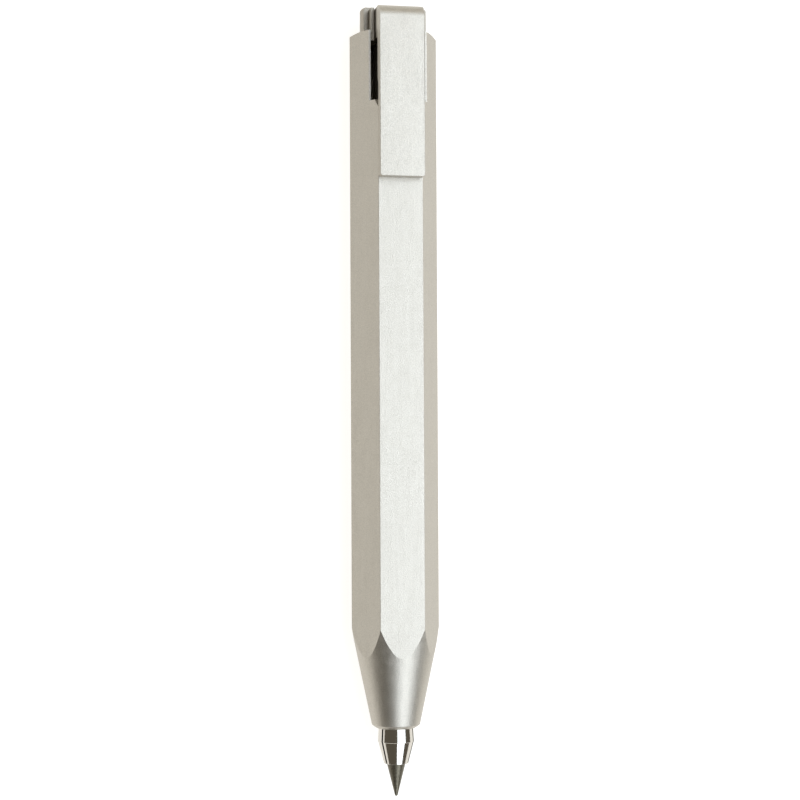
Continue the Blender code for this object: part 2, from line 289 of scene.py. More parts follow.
def rounded(outline, radius, sharp=(), fineness=8.0):
    """Closed outline with its corners turned into arcs, each step of fineness degrees at most.

    sharp lists the corners to leave. Bends under 4 degrees stay too, and an arc takes less than
    half of each side.
    """
    flattest, most = math.radians(4), 0.45
    points = []
    count = len(outline)
    for i, point in enumerate(outline):
        here = Vector(point)
        before = Vector(outline[i - 1]) - here
        after = Vector(outline[(i + 1) % count]) - here
        bend = math.pi - before.angle(after)
        if i in sharp or bend < flattest:
            points.append(tuple(here))
            continue
        reach = min(radius * math.tan(bend / 2), most * before.length, most * after.length)
        start = here + before.normalized() * reach
        end = here + after.normalized() * reach
        inward = (before.normalized() + after.normalized()).normalized()
        centre = here + inward * (reach / math.sin(bend / 2))
        steps = max(2, math.ceil(math.degrees(bend) / fineness))
        first, last = start - centre, end - centre
        for k in range(steps + 1):
            share = k / steps
            points.append(tuple(centre + (first * math.sin((1 - share) * bend)
                                          + last * math.sin(share * bend)) / math.sin(bend)))
    return points


def place(x, station, height):
    """World point of a place given in millimetres from the tip and the axis."""
    return Vector((x * MM, TIP_Y + station * MM, AXIS_Z + height * MM))


# ---------------------------------------------------------------- meshes

def shade(mesh, bm, crease, crisp=None):
    """Writes a bmesh into a mesh: smooth faces, with hard edges above the crease angle.

    crisp(edge, bend) picks further hard edges.
    """
    bmesh.ops.recalc_face_normals(bm, faces=bm.faces)
    for face in bm.faces:
        face.smooth = True
    for edge in bm.edges:
        bend = edge.calc_face_angle(0)
        edge.smooth = bend < math.radians(crease) and not (crisp and crisp(edge, bend))
    bm.to_mesh(mesh)
    bm.free()


def evaluated(piece, kind, **settings):
    """Applies one modifier to the piece's mesh."""
    modifier = piece.modifiers.new("apply", kind)
    for key, value in settings.items():
        setattr(modifier, key, value)
    bpy.context.view_layer.update()
    graph = bpy.context.evaluated_depsgraph_get()
    fresh = bpy.data.meshes.new_from_object(piece.evaluated_get(graph))
    piece.modifiers.clear()
    stale, piece.data = piece.data, fresh
    bpy.data.meshes.remove(stale)


def new_piece(name, bm, material=None, crease=30):
    """Object made from a bmesh, with hard edges above the crease angle in degrees."""
    mesh = bpy.data.meshes.new(name)
    shade(mesh, bm, crease)
    piece = bpy.data.objects.new(name, mesh)
    bpy.context.scene.collection.objects.link(piece)
    if material:
        mesh.materials.append(material)
    return piece


def turned_bmesh(outline, steps, start=0.0, sweep=math.tau, narrowing=None):
    """Turns a closed (station, radius) outline about the axis.

    narrowing(radius) gives the angle to leave out at each end of a part turn.
    """
    bm = bmesh.new()
    full = sweep > math.tau - 1e-6
    on_axis = {i: bm.verts.new(place(0, s, 0)) for i, (s, r) in enumerate(outline) if r < 1e-6}
    rings = []
    for step in range(steps if full else steps + 1):
        share = step / steps
        ring = []
        for i, (station, radius) in enumerate(outline):
            if i in on_axis:
                ring.append(on_axis[i])
                continue
            cut = narrowing(radius) if narrowing else 0.0
            angle = start + cut + (sweep - 2 * cut) * share
            ring.append(bm.verts.new(place(radius * math.cos(angle), station, radius * math.sin(angle))))
        rings.append(ring)
    for step in range(steps):
        here, there = rings[step], rings[(step + 1) % len(rings)]
        for i in range(len(outline)):
            j = (i + 1) % len(outline)
            corners = list(dict.fromkeys((here[i], here[j], there[j], there[i])))
            if len(corners) > 2:
                bm.faces.new(corners)
    if not full:
        bm.faces.new(rings[0])
        bm.faces.new(rings[-1])
    return bm


def prism_bmesh(outline, half_width):
    """Extrudes a (station, height) outline across the holder."""
    bm = bmesh.new()
    face = bm.faces.new([bm.verts.new(place(-half_width, s, h)) for s, h in outline])
    swept = bmesh.ops.extrude_face_region(bm, geom=[face])
    moved = [item for item in swept["geom"] if isinstance(item, bmesh.types.BMVert)]
    bmesh.ops.translate(bm, verts=moved, vec=(2 * half_width * MM, 0, 0))
    bmesh.ops.recalc_face_normals(bm, faces=bm.faces)
    return bm


def rod_bmesh(start, end, radius, steps=64, chamfer=0.0):
    """Cylinder between two (x, station, height) points, with chamfered ends."""
    foot, head = place(*start), place(*end)
    turn = (head - foot).to_track_quat("Z", "Y").to_matrix().to_4x4()
    turn.translation = (foot + head) / 2
    bm = bmesh.new()
    bmesh.ops.create_cone(bm, cap_ends=True, segments=steps, radius1=radius * MM,
                          radius2=radius * MM, depth=(head - foot).length, matrix=turn)
    if chamfer:
        rims = [edge for edge in bm.edges if any(len(face.verts) > 4 for face in edge.link_faces)]
        bmesh.ops.bevel(bm, geom=rims, offset=chamfer * MM, segments=3, profile=0.5,
                        affect="EDGES")
    return bm


def upright_rod(heights, radius, steps=64, chamfer=0.0):
    """Rod through the axis between two heights, at the grub screw's station."""
    low, high = heights
    return rod_bmesh((0, SCREW_STATION, low), (0, SCREW_STATION, high), radius, steps, chamfer)


def box_bmesh(half_width, stations, heights):
    """Block centred sideways, used as a cutter."""
    (s0, s1), (h0, h1) = stations, heights
    return prism_bmesh([(s0, h0), (s1, h0), (s1, h1), (s0, h1)], half_width)


def upright_edges(bm, station):
    """Edges at a station that don't run sideways."""
    y, close = place(0, station, 0).y, 1e-7
    return [edge for edge in bm.edges
            if all(abs(v.co.y - y) < close for v in edge.verts)
            and abs(edge.verts[0].co.x - edge.verts[1].co.x) < close]


def hard_edges(bm):
    """Edges that bend by more than 40 degrees."""
    return [edge for edge in bm.edges if edge.calc_face_angle(0) > math.radians(40)]


def round_edges(bm, edges, radius, segments=3):
    """Rounds the given edges."""
    if edges:
        bmesh.ops.bevel(bm, geom=edges, offset=radius * MM, segments=segments, profile=0.5,
                        affect="EDGES", clamp_overlap=True)


def carve(piece, cutters, operation="DIFFERENCE"):
    """Applies exact Booleans with throw-away cutters, worked in millimetres."""
    enlarge = Matrix.Scale(1 / MM, 4)
    piece.data.transform(enlarge)
    for bm in cutters:
        cutter = new_piece("cutter", bm)
        cutter.data.transform(enlarge)
        evaluated(piece, "BOOLEAN", operation=operation, solver="EXACT", object=cutter)
        bpy.data.objects.remove(cutter)
    piece.data.transform(enlarge.inverted())
    return piece


def edit(piece):
    """The piece's mesh as an editable bmesh."""
    bm = bmesh.new()
    bm.from_mesh(piece.data)
    bmesh.ops.remove_doubles(bm, verts=bm.verts, dist=2e-7)
    bmesh.ops.dissolve_degenerate(bm, edges=bm.edges, dist=1e-7)
    bmesh.ops.holes_fill(bm, edges=bm.edges, sides=4)
    return bm


def store(piece, bm, material, crease=30, crisp=None):
    """Writes an edited bmesh back, with its finish, and keeps its flat faces evenly lit."""
    shade(piece.data, bm, crease, crisp)
    piece.data.materials.clear()
    piece.data.materials.append(material)
    evaluated(piece, "WEIGHTED_NORMAL", keep_sharp=True, mode="FACE_AREA", weight=100)


def settle(piece, body, nodes):
    """Rides the piece on its body in place of its CAD nodes."""
    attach(piece, body)
    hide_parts(*nodes)
    return piece


def turned_piece(name, outline, material, steps, **options):
    """Turned solid of revolution, or part of one."""
    return new_piece(name, turned_bmesh(outline, steps, **options), material)


# ---------------------------------------------------------------- finishes

class Finish:
    """Small helper that wires a Principled material."""

    def __init__(self, name, colour, roughness, metallic):
        self.material = bpy.data.materials.new(name)
        self.material.use_nodes = True
        self.tree = self.material.node_tree
        self.shader = self.tree.nodes["Principled BSDF"]
        self.shader.inputs["Base Color"].default_value = (*colour, 1.0)
        self.shader.inputs["Roughness"].default_value = roughness
        self.shader.inputs["Metallic"].default_value = metallic
        self.material.diffuse_color = (*colour, 1.0)
        self.colour = colour
        self.where = self.node("ShaderNodeTexCoord").outputs["Object"]

    def node(self, kind, **values):
        made = self.tree.nodes.new(kind)
        for key, value in values.items():
            if key in made.inputs:
                made.inputs[key].default_value = value
            else:
                setattr(made, key, value)
        return made

    def link(self, source, target):
        self.tree.links.new(source, target)

    def stretched(self, scale):
        """Object coordinates scaled per axis, in cycles per metre."""
        mapping = self.node("ShaderNodeMapping")
        mapping.inputs["Scale"].default_value = scale
        self.link(self.where, mapping.inputs["Vector"])
        return mapping.outputs["Vector"]

    def noise(self, scale, detail=2.0, roughness=0.5):
        """Noise of the given cycles per metre along X, Y and Z."""
        made = self.node("ShaderNodeTexNoise", Scale=1.0, Detail=detail, Roughness=roughness)
        self.link(self.stretched(scale), made.inputs["Vector"])
        return made.outputs["Fac"]

    def ranged(self, source, low, high, start=0.3, end=0.7):
        """Maps a 0 to 1 signal onto another range."""
        made = self.node("ShaderNodeMapRange")
        made.inputs["From Min"].default_value = start
        made.inputs["From Max"].default_value = end
        made.inputs["To Min"].default_value = low
        made.inputs["To Max"].default_value = high
        self.link(source, made.inputs["Value"])
        return made.outputs["Result"]

    def added(self, *sources):
        """Sum of signals."""
        total = sources[0]
        for source in sources[1:]:
            made = self.node("ShaderNodeMath", operation="ADD")
            self.link(total, made.inputs[0])
            self.link(source, made.inputs[1])
            total = made.outputs["Value"]
        return total

    def tint(self, source, low, high):
        """Base colour that runs between two multiples of the finish's colour."""
        made = self.node("ShaderNodeMix", data_type="RGBA")
        made.inputs[6].default_value = (*(channel * low for channel in self.colour), 1.0)
        made.inputs[7].default_value = (*(min(1.0, channel * high) for channel in self.colour), 1.0)
        self.link(source, made.inputs[0])
        self.link(made.outputs[2], self.shader.inputs["Base Color"])

    def bump(self, source, distance, strength=1.0):
        """Relief of the given height in metres."""
        made = self.node("ShaderNodeBump")
        made.inputs["Strength"].default_value = strength
        made.inputs["Distance"].default_value = distance
        self.link(source, made.inputs["Height"])
        previous = self.shader.inputs["Normal"]
        if previous.is_linked:
            self.link(previous.links[0].from_socket, made.inputs["Normal"])
        self.link(made.outputs["Normal"], previous)


def even(cycles):
    """The same number of cycles per metre on every axis."""
    return (cycles, cycles, cycles)


def blasted_metal(name, colour):
    """Bead-blasted, anodised aluminium: fine grain, soft mottling, faint handling marks."""
    metal = Finish(name, colour, 0.46, 1.0)
    grain = metal.noise(even(6000), detail=3.0, roughness=0.65)
    mottle = metal.noise(even(900), detail=3.0)
    marks = metal.noise((2600, 120, 2600), detail=4.0, roughness=0.6)
    speckle = metal.added(metal.ranged(grain, 0.0, 0.8, 0.35, 0.65), metal.ranged(mottle, 0.0, 0.2))
    metal.tint(speckle, 0.88, 1.12)
    rough = metal.added(metal.ranged(mottle, 0.43, 0.49), metal.ranged(marks, -0.02, 0.03, 0.35, 0.75))
    metal.link(rough, metal.shader.inputs["Roughness"])
    metal.bump(grain, 0.00003, 1.0)
    return metal.material


def polished_nickel(colours):
    """Nickel plate with a light polish haze."""
    metal = Finish("polished_nickel", tuple(colours.nickel), 0.09, 1.0)
    haze = metal.noise(even(1500), detail=3.0)
    rings = metal.noise((300, 16000, 300), detail=2.0)
    metal.tint(haze, 0.93, 1.04)
    metal.link(metal.ranged(haze, 0.06, 0.13), metal.shader.inputs["Roughness"])
    metal.bump(rings, 0.000001, 0.25)
    return metal.material


def turned_metal(name, colour, roughness):
    """Metal straight from the lathe, with fine feed rings along the axis."""
    metal = Finish(name, colour, roughness, 1.0)
    rings = metal.noise((200, 9000, 200), detail=2.0)
    stain = metal.noise(even(700), detail=3.0)
    metal.tint(stain, 0.9, 1.06)
    metal.link(metal.ranged(rings, roughness - 0.05, roughness + 0.06), metal.shader.inputs["Roughness"])
    metal.bump(rings, 0.000002, 0.4)
    return metal.material


def ground_graphite(colours):
    """Graphite with lengthwise grinding marks and a grey metallic shine."""
    lead = Finish("ground_graphite", tuple(colours.graphite), 0.34, 0.65)
    marks = lead.noise((6500, 260, 6500), detail=3.0, roughness=0.7)
    grain = lead.noise(even(12000), detail=2.0)
    lead.tint(lead.ranged(lead.added(marks, grain), 0.0, 1.0, 0.75, 1.25), 0.55, 1.6)
    lead.link(lead.ranged(grain, 0.28, 0.42), lead.shader.inputs["Roughness"])
    lead.bump(marks, 0.000014, 0.8)
    return lead.material


def black_anodised(colours):
    """Black anodised tube."""
    tube = Finish("black_anodised", tuple(colours.sleeve), 0.42, 0.1)
    dust = tube.noise(even(4000), detail=3.0)
    wipe = tube.noise((1500, 90, 1500), detail=3.0)
    tube.tint(tube.ranged(tube.added(dust, wipe), 0.0, 1.0, 0.8, 1.25), 0.75, 1.5)
    tube.link(tube.ranged(wipe, 0.36, 0.5), tube.shader.inputs["Roughness"])
    tube.bump(dust, 0.000002, 0.4)
    return tube.material


def finish(name):
    """The named finish, made once."""
    ready = bpy.data.materials.get(name)
    if ready:
        return ready
    colours = bpy.context.scene.holder_colours
    makers = {
        "blasted_aluminium": lambda: blasted_metal("blasted_aluminium", tuple(colours.aluminium)),
        # The button's copy of the aluminium carries the painted shade of its darker colour.
        "button_painted_shade_aluminium": lambda: blasted_metal("button_painted_shade_aluminium", tuple(colours.button)),
        "polished_nickel": lambda: polished_nickel(colours),
        "bright_steel": lambda: turned_metal("bright_steel", tuple(colours.steel), 0.24),
        "turned_brass": lambda: turned_metal("turned_brass", tuple(colours.brass), 0.28),
        "ground_graphite": lambda: ground_graphite(colours),
        "black_anodised": lambda: black_anodised(colours),
    }
    return makers[name]()


# ---------------------------------------------------------------- barrel

class LEAD_HOLDER_OT_barrel(Operator):
    """Hexagonal barrel with its turned nose, chamfered rim, stepped bore and clip slot"""
    bl_idname = "lead_holder.make_barrel"
    bl_label = "Barrel"

    def hexagon(self, corner_round):
        """Bar with softly rounded corners, longer than the barrel at both ends."""
        turns = [math.tau * k / 6 for k in range(6)]
        corners = [(CORNER * math.cos(turn), CORNER * math.sin(turn)) for turn in turns]
        bm = bmesh.new()
        outline = rounded(corners, corner_round / MM, fineness=15.0)
        face = bm.faces.new([bm.verts.new(place(x, NOSE_END - 1, h)) for x, h in outline])
        swept = bmesh.ops.extrude_face_region(bm, geom=[face])
        moved = [item for item in swept["geom"] if isinstance(item, bmesh.types.BMVert)]
        bmesh.ops.translate(bm, verts=moved, vec=(0, (RIM + 2 - NOSE_END) * MM, 0))
        return bm

    def outside(self):
        """Turned envelope: rounded nose end, long cone, and the chamfer at the rim."""
        inner, outer = NOSE_RADII
        run, drop = NOSE_LIP
        edge = NOSE_END + NOSE_EDGE
        nose = rounded([(NOSE_END, 0), (NOSE_END, inner), (edge - run, outer - drop), (edge, outer),
                        (edge + CONE_START, outer + CONE_START * NOSE_SLOPE)], NOSE_ROUND,
                       sharp=(0, 4))
        cone_run = (CLEAR - outer) / NOSE_SLOPE
        chamfer_run = (CLEAR - RIM_FACE) * math.tan(RIM_ANGLE)
        rim = rounded([(edge + cone_run, CLEAR), (RIM - chamfer_run, CLEAR), (RIM, RIM_FACE),
                       (RIM, 0)], RIM_ROUND, sharp=(0, 1, 3))
        return nose + rim

    def bore(self):
        """Stepped bore with a small lead-in at the rim."""
        front, rear = NOSE_END - OVERSHOOT, RIM + OVERSHOOT
        wide = REAR_BORE + RIM_LEAD_IN
        return [(front, 0), (front, MOUTH), (MOUTH_STEP, MOUTH), (MOUTH_STEP, NOSE_BORE),
                (SPRING_SHOULDER, NOSE_BORE), (SPRING_SHOULDER, MAIN_BORE),
                (BUSH_SHOULDER, MAIN_BORE), (BUSH_SHOULDER, REAR_BORE),
                (RIM - RIM_LEAD_IN, REAR_BORE), (RIM, wide), (rear, wide), (rear, 0)]

    def slot(self):
        """Cutter of the slot, with rounded end corners and a ramp."""
        past = RIM + OVERSHOOT
        low, high = RAMP
        outline = [(past, SLOT_FLOOR), (SLOT_END, SLOT_FLOOR), (SLOT_END, low),
                   (SLOT_END - (high - low) * RAMP_RUN, high), (past, high)]
        bm = prism_bmesh(outline, SLOT_HALF)
        round_edges(bm, upright_edges(bm, SLOT_END), SLOT_CORNER, 5)
        return bm

    def land(self):
        """Cutter that leaves a narrow level land along both edges of the slot."""
        return box_bmesh(LAND_HALF, (SLOT_END, RIM + OVERSHOOT), (LAND_HEIGHT, RAMP[1]))

    def run_out(self, edge, bend):
        """Edge where a flat of the hexagon runs out into a turned face."""
        tilts = [abs(face.normal.y) for face in edge.link_faces]
        return min(tilts) < 0.01 and 0.1 < max(tilts) < 0.9 and bend > math.radians(5)

    def execute(self, context):
        sizes = context.scene.holder_sizes
        steps = sizes.round_steps
        barrel = new_piece("barrel_body", self.hexagon(sizes.corner_round))
        carve(barrel, [turned_bmesh(self.outside(), steps)], "INTERSECT")
        carve(barrel, [turned_bmesh(self.bore(), steps), self.slot(), self.land()])
        store(barrel, edit(barrel), finish("blasted_aluminium"), 30, self.run_out)
        settle(barrel, "barrel", ["barrel"])
        return {"FINISHED"}


# ---------------------------------------------------------------- clip and button

class LEAD_HOLDER_OT_clip(Operator):
    """Clip with its bent head, the cross pin it turns on and the leaf spring behind it"""
    bl_idname = "lead_holder.make_clip"
    bl_label = "Clip"

    def profile(self, bend):
        """Side view of the clip, with the bend as an arc."""
        arc = []
        count = 18
        for k in range(count + 1):
            turn = math.radians(90 * k / count)
            arc.append((CLIP_REAR - bend * (1 - math.sin(turn)), CLIP_FACE - bend * (1 - math.cos(turn))))
        blade, step = BLADE_STEP
        return [(CLIP_END, BLADE_BACK), (CLIP_END, CLIP_FACE), *arc,
                (CLIP_REAR, CLIP_BACK), (HEAD_FRONT, CLIP_BACK), (HEAD_FRONT, HEAD_STEP),
                (step, HEAD_STEP), (blade, BLADE_BACK)]

    def execute(self, context):
        sizes = context.scene.holder_sizes
        bm = prism_bmesh(self.profile(sizes.clip_bend / MM), CLIP_HALF)
        round_edges(bm, upright_edges(bm, CLIP_END), sizes.clip_corner / MM, 6)
        round_edges(bm, hard_edges(bm), sizes.edge_round / MM, 3)
        clip = new_piece("clip_blade", bm)
        hole = [(-5, PIN_STATION, PIN_HEIGHT), (5, PIN_STATION, PIN_HEIGHT)]
        carve(clip, [rod_bmesh(*hole, PIN_RADIUS + 0.05)])
        store(clip, edit(clip), finish("blasted_aluminium"))
        settle(clip, "clip", ["clip"])

        pin_ends = [(side * PIN_HALF, PIN_STATION, PIN_HEIGHT) for side in (-1, 1)]
        pin = new_piece("clip_cross_pin", rod_bmesh(*pin_ends, PIN_RADIUS, 64, 0.1),
                        finish("bright_steel"))
        settle(pin, "push_unit", ["clip_pin"])

        front, rear = LEAF_ENDS
        low = POCKET_FLOOR + 0.03
        shares = [k / LEAF_STEPS for k in range(LEAF_STEPS + 1)]
        bow = [(front + (rear - front) * share, low + LEAF_RISE * math.sin(math.pi * share))
               for share in shares]
        bm = prism_bmesh(bow + [(s, h + LEAF_THICKNESS) for s, h in reversed(bow)], LEAF_HALF)
        round_edges(bm, hard_edges(bm), 0.03, 2)
        leaf = new_piece("clip_leaf_spring", bm, finish("bright_steel"))
        settle(leaf, "push_unit", ["clip_spring"])
        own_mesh(leaf)
        return {"FINISHED"}


class LEAD_HOLDER_OT_button(Operator):
    """Push button with its flat, two cheeks for the clip's head, the spigot and a grub screw"""
    bl_idname = "lead_holder.make_button"
    bl_label = "Button"

    def execute(self, context):
        sizes = context.scene.holder_sizes
        chamfer, rim_round, above = 0.2, 0.3, 8.0
        outline = [(SPIGOT_FRONT, 0), (SPIGOT_FRONT, SPIGOT_RADIUS - chamfer),
                   (SPIGOT_FRONT + chamfer, SPIGOT_RADIUS), (BUTTON_FRONT, SPIGOT_RADIUS),
                   (BUTTON_FRONT, BUTTON_RADIUS), (BUTTON_REAR, BUTTON_RADIUS), (BUTTON_REAR, 0)]
        outline = rounded(outline, rim_round, sharp=(0, 1, 2, 3, 6))
        button = new_piece("button_body", turned_bmesh(outline, sizes.round_steps))
        beyond = BUTTON_REAR + 1
        carve(button, [box_bmesh(7.0, (BUTTON_FRONT - 0.6, beyond), (BUTTON_FLAT, above))])
        cheeks = box_bmesh(CHEEK_HALF, (BUTTON_FRONT, CHEEK_REAR), (0.0, CHEEK_TOP))
        carve(button, [cheeks], "UNION")
        cutters = [
            box_bmesh(POCKET_HALF, (BUTTON_FRONT - 0.05, beyond), (POCKET_FLOOR, above)),
            rod_bmesh((-6, PIN_STATION, PIN_HEIGHT), (6, PIN_STATION, PIN_HEIGHT), PIN_RADIUS + 0.02),
            upright_rod(SCREW_HOLE_ENDS, SCREW_HOLE),
        ]
        carve(button, cutters)
        bm = edit(button)
        over_flat = AXIS_Z + (BUTTON_FLAT - 0.1) * MM
        rim = [edge for edge in hard_edges(bm) if all(v.co.z > over_flat for v in edge.verts)]
        round_edges(bm, rim, sizes.edge_round / MM, 2)
        # Darker copy of the aluminium: painted shade on the button.
        store(button, bm, finish("button_painted_shade_aluminium"))
        settle(button, "push_unit", ["button"])

        screw = new_piece("button_grub_screw", upright_rod(SCREW_ENDS, SCREW_RADIUS, 48, 0.08))
        carve(screw, [upright_rod(SOCKET_ENDS, SOCKET_RADIUS, 6)])
        store(screw, edit(screw), finish("bright_steel"))
        settle(screw, "push_unit", ["button_screw"])
        return {"FINISHED"}


# ---------------------------------------------------------------- clutch and lead

class LEAD_HOLDER_OT_jaws(Operator):
    """Three polished clutch jaws with parallel slits between them"""
    bl_idname = "lead_holder.make_jaws"
    bl_label = "Clutch jaws"

    def execute(self, context):
        outline = [(JAW_FRONT, JAW_BORE), (JAW_FRONT, JAW_TIP), (8.5, JAW_EDGE - 0.05),
                   (8.55, JAW_EDGE), (10.65, SEAT_RADIUS), (SEAT_END, SEAT_END_RADIUS),
                   (14.2, STEM_RADIUS), (19.5, STEM_RADIUS), (20.2, ROOT_RADIUS),
                   (JAW_ROOT, ROOT_RADIUS), (JAW_ROOT, TUBE_BORE), (11.6, TUBE_BORE),
                   (11.0, JAW_BORE)]
        outline = rounded(outline, 0.06, sharp=(2, 3, 9, 10, 11, 12))
        sector = math.tau / JAW_COUNT
        for number in range(JAW_COUNT):
            middle = math.pi / 2 + sector * number
            bm = turned_bmesh(outline, 48, middle - sector / 2, sector,
                              lambda radius: math.asin(JAW_SLIT / 2 / radius))
            slit = [edge for edge in hard_edges(bm)
                    if any(len(face.verts) > 4 for face in edge.link_faces)]
            round_edges(bm, slit, 0.03, 2)
            jaw = new_piece(f"clutch_jaw_{number + 1}", bm, finish("polished_nickel"), 22)
            settle(jaw, f"jaw_{number + 1}", [f"jaw_{number + 1}"])
        return {"FINISHED"}


class LEAD_HOLDER_OT_lead(Operator):
    """Thick graphite lead with a ground conical point"""
    bl_idname = "lead_holder.make_lead"
    bl_label = "Lead"

    def execute(self, context):
        tip_steps, cone_steps, chamfer = 6, 24, 0.1
        turns = [POINT_TURN * k / tip_steps for k in range(tip_steps + 1)]
        tip = [(TIP_RADIUS * (1 - math.cos(turn)), TIP_RADIUS * math.sin(turn)) for turn in turns]
        start, thin = tip[-1]
        full = (LEAD_RADIUS - TIP_RADIUS) / POINT_SLOPE
        shares = [k / cone_steps for k in range(1, cone_steps + 1)]
        cone = [(start + (full - start) * share, thin + (LEAD_RADIUS - thin) * share)
                for share in shares]
        outline = [*tip, *cone, (LEAD_REAR - chamfer, LEAD_RADIUS),
                   (LEAD_REAR, LEAD_RADIUS - chamfer), (LEAD_REAR, 0.0)]
        lead = turned_piece("graphite_lead", outline, finish("ground_graphite"), 96)
        settle(lead, "lead", ["lead"])
        return {"FINISHED"}


# ---------------------------------------------------------------- inside the barrel

class LEAD_HOLDER_OT_tubes(Operator):
    """Collet sleeve, lead tube and dark push sleeve"""
    bl_idname = "lead_holder.make_tubes"
    bl_label = "Sleeves and tube"

    def execute(self, context):
        steps = context.scene.holder_sizes.hidden_steps
        front, shoulder, tube_seat, rear = 22.1, 24.2, 31.0, 38.0
        passage, thread, body = 1.72, 2.25, 2.8
        collet = [(front, passage), (front, ROOT_RADIUS), (shoulder - 0.2, ROOT_RADIUS),
                  (shoulder, body), (rear, body), (rear, thread), (tube_seat, thread),
                  (tube_seat, passage)]
        piece = turned_piece("collet_carrier", rounded(collet, 0.08), finish("polished_nickel"), steps)
        settle(piece, "push_unit", ["collet_sleeve"])

        front, rear = TUBE_ENDS
        tube = [(front, TUBE_BORE), (front, TUBE_RADIUS), (rear, TUBE_RADIUS), (rear, TUBE_BORE)]
        piece = turned_piece("lead_guide_tube", rounded(tube, 0.1), finish("turned_brass"), steps)
        settle(piece, "push_unit", ["lead_tube"])

        (front, rear), (groove, land) = SLEEVE_ENDS, RING_GROOVE
        sleeve = [(front, SLEEVE_BORE), (front, SLEEVE_RADIUS), (groove, SLEEVE_RADIUS),
                  (groove, GROOVE_RADIUS), (land, GROOVE_RADIUS), (land, SLEEVE_RADIUS),
                  (rear, SLEEVE_RADIUS), (rear, SLEEVE_BORE)]
        piece = turned_piece("dark_push_sleeve", rounded(sleeve, 0.08, sharp=(3, 4)), None, steps)
        carve(piece, [upright_rod(SCREW_HOLE_ENDS, SCREW_HOLE)])
        store(piece, edit(piece), finish("black_anodised"))
        settle(piece, "push_unit", ["push_sleeve"])
        return {"FINISHED"}


class LEAD_HOLDER_OT_rings(Operator):
    """Closing ring, washers, bush, collars and open retaining rings"""
    bl_idname = "lead_holder.make_rings"
    bl_label = "Rings and bushes"

    def ring(self, name, outline, look, body, node, slot, soft=0.1, **options):
        """One turned ring with softened edges."""
        steps = bpy.context.scene.holder_sizes.hidden_steps
        piece = turned_piece(name, rounded(outline, soft, fineness=20), finish(look), steps, **options)
        settle(piece, body, [node])

    def band(self, front, rear, inner, outer):
        """Outline of a plain ring between two stations and two radii."""
        return [(front, inner), (front, outer), (rear, outer), (rear, inner)]

    def execute(self, context):
        gap = math.radians(50)
        open_ring = {"start": gap / 2 - math.pi / 2, "sweep": math.tau - gap}
        steel, brass = "bright_steel", "turned_brass"
        front, rear, outer, throat = 11.03, 14.5, NOSE_BORE - 0.03, SEAT_END_RADIUS + 0.04
        seat = [(front, 2.707), (front, outer), (rear, outer), (rear, 2.6), (14.0, throat),
                (SEAT_END, throat)]
        self.ring("nose_closing_ring", seat, steel, "barrel", "closing_ring", "spring_steel", 0.04)
        self.ring("spring_seat_washer", self.band(26.03, 26.58, 2.9, 4.25), steel, "barrel",
                  "spring_seat", "spring_steel")
        front, rear, inner, outer, neck = 98.03, 101.23, 3.15, 5.2, 5.05
        bush = [(front, inner), (front, outer), (99.2, outer), (99.35, neck), (99.9, neck),
                (100.05, outer), (rear, outer), (rear, inner)]
        self.ring("sleeve_guide_bush", bush, brass, "barrel", "guide_bush", "brass")
        self.ring("bush_retaining_ring", self.band(101.28, 101.88, 4.2, outer), steel, "barrel",
                  "bush_ring", "spring_steel", 0.08, **open_ring)
        self.ring("spring_thrust_washer", self.band(43.15, 43.55, ON_SLEEVE, 4.1), steel, "push_unit",
                  "thrust_washer", "spring_steel")
        front, rear, outer, chamfer = 43.6, 45.4, 4.15, 0.2
        collar = [(front, ON_SLEEVE), (front, outer), (rear - chamfer, outer),
                  (rear, outer - chamfer), (rear, ON_SLEEVE)]
        self.ring("spring_end_collar", collar, brass, "push_unit", "spring_collar", "brass", 0.06)
        self.ring("collar_retaining_ring", self.band(45.5, 46.1, 2.93, 3.75), steel, "push_unit",
                  "collar_ring", "spring_steel", 0.08, **open_ring)
        front, rear, outer = 105.1, 107.0, 4.6
        stop = [(front, ON_SLEEVE), (front, outer - chamfer), (front + chamfer, outer),
                (rear, outer), (rear, ON_SLEEVE)]
        self.ring("travel_stop_collar", stop, brass, "push_unit", "stop_collar", "brass", 0.06)
        return {"FINISHED"}


class LEAD_HOLDER_OT_spring(Operator):
    """Return spring wound from round wire, with closed end turns"""
    bl_idname = "lead_holder.make_spring"
    bl_label = "Return spring"

    def execute(self, context):
        per_turn, sides, closed = 36, 12, 1.0
        points = int(SPRING_TURNS * per_turn)
        first = SPRING_FRONT + SPRING_WIRE
        last = SPRING_REAR - SPRING_WIRE
        active = SPRING_TURNS - 2 * closed
        pitch = (last - first - 2 * closed * CLOSED_TURN) / active

        def along(turns):
            """Station of the wire's middle after so many turns."""
            if turns < closed:
                return first + CLOSED_TURN * turns
            if turns > SPRING_TURNS - closed:
                return last - CLOSED_TURN * (SPRING_TURNS - turns)
            return first + CLOSED_TURN * closed + pitch * (turns - closed)

        bm = bmesh.new()
        rings = []
        for k in range(points + 1):
            turns = k / per_turn
            angle = math.tau * turns
            ring = []
            for side in range(sides):
                around = math.tau * side / sides
                radius = SPRING_RADIUS + SPRING_WIRE * math.cos(around)
                station = along(turns) + SPRING_WIRE * math.sin(around)
                spot = place(radius * math.cos(angle), station, radius * math.sin(angle))
                ring.append(bm.verts.new(spot))
            rings.append(ring)
        for here, there in zip(rings, rings[1:]):
            for side in range(sides):
                after = (side + 1) % sides
                bm.faces.new((here[side], here[after], there[after], there[side]))
        bm.faces.new(rings[0])
        bm.faces.new(rings[-1])
        spring = new_piece("coiled_return_spring", bm, finish("bright_steel"), 40)
        settle(spring, "barrel", ["return_spring"])
        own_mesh(spring)
        return {"FINISHED"}


# ---------------------------------------------------------------- stage

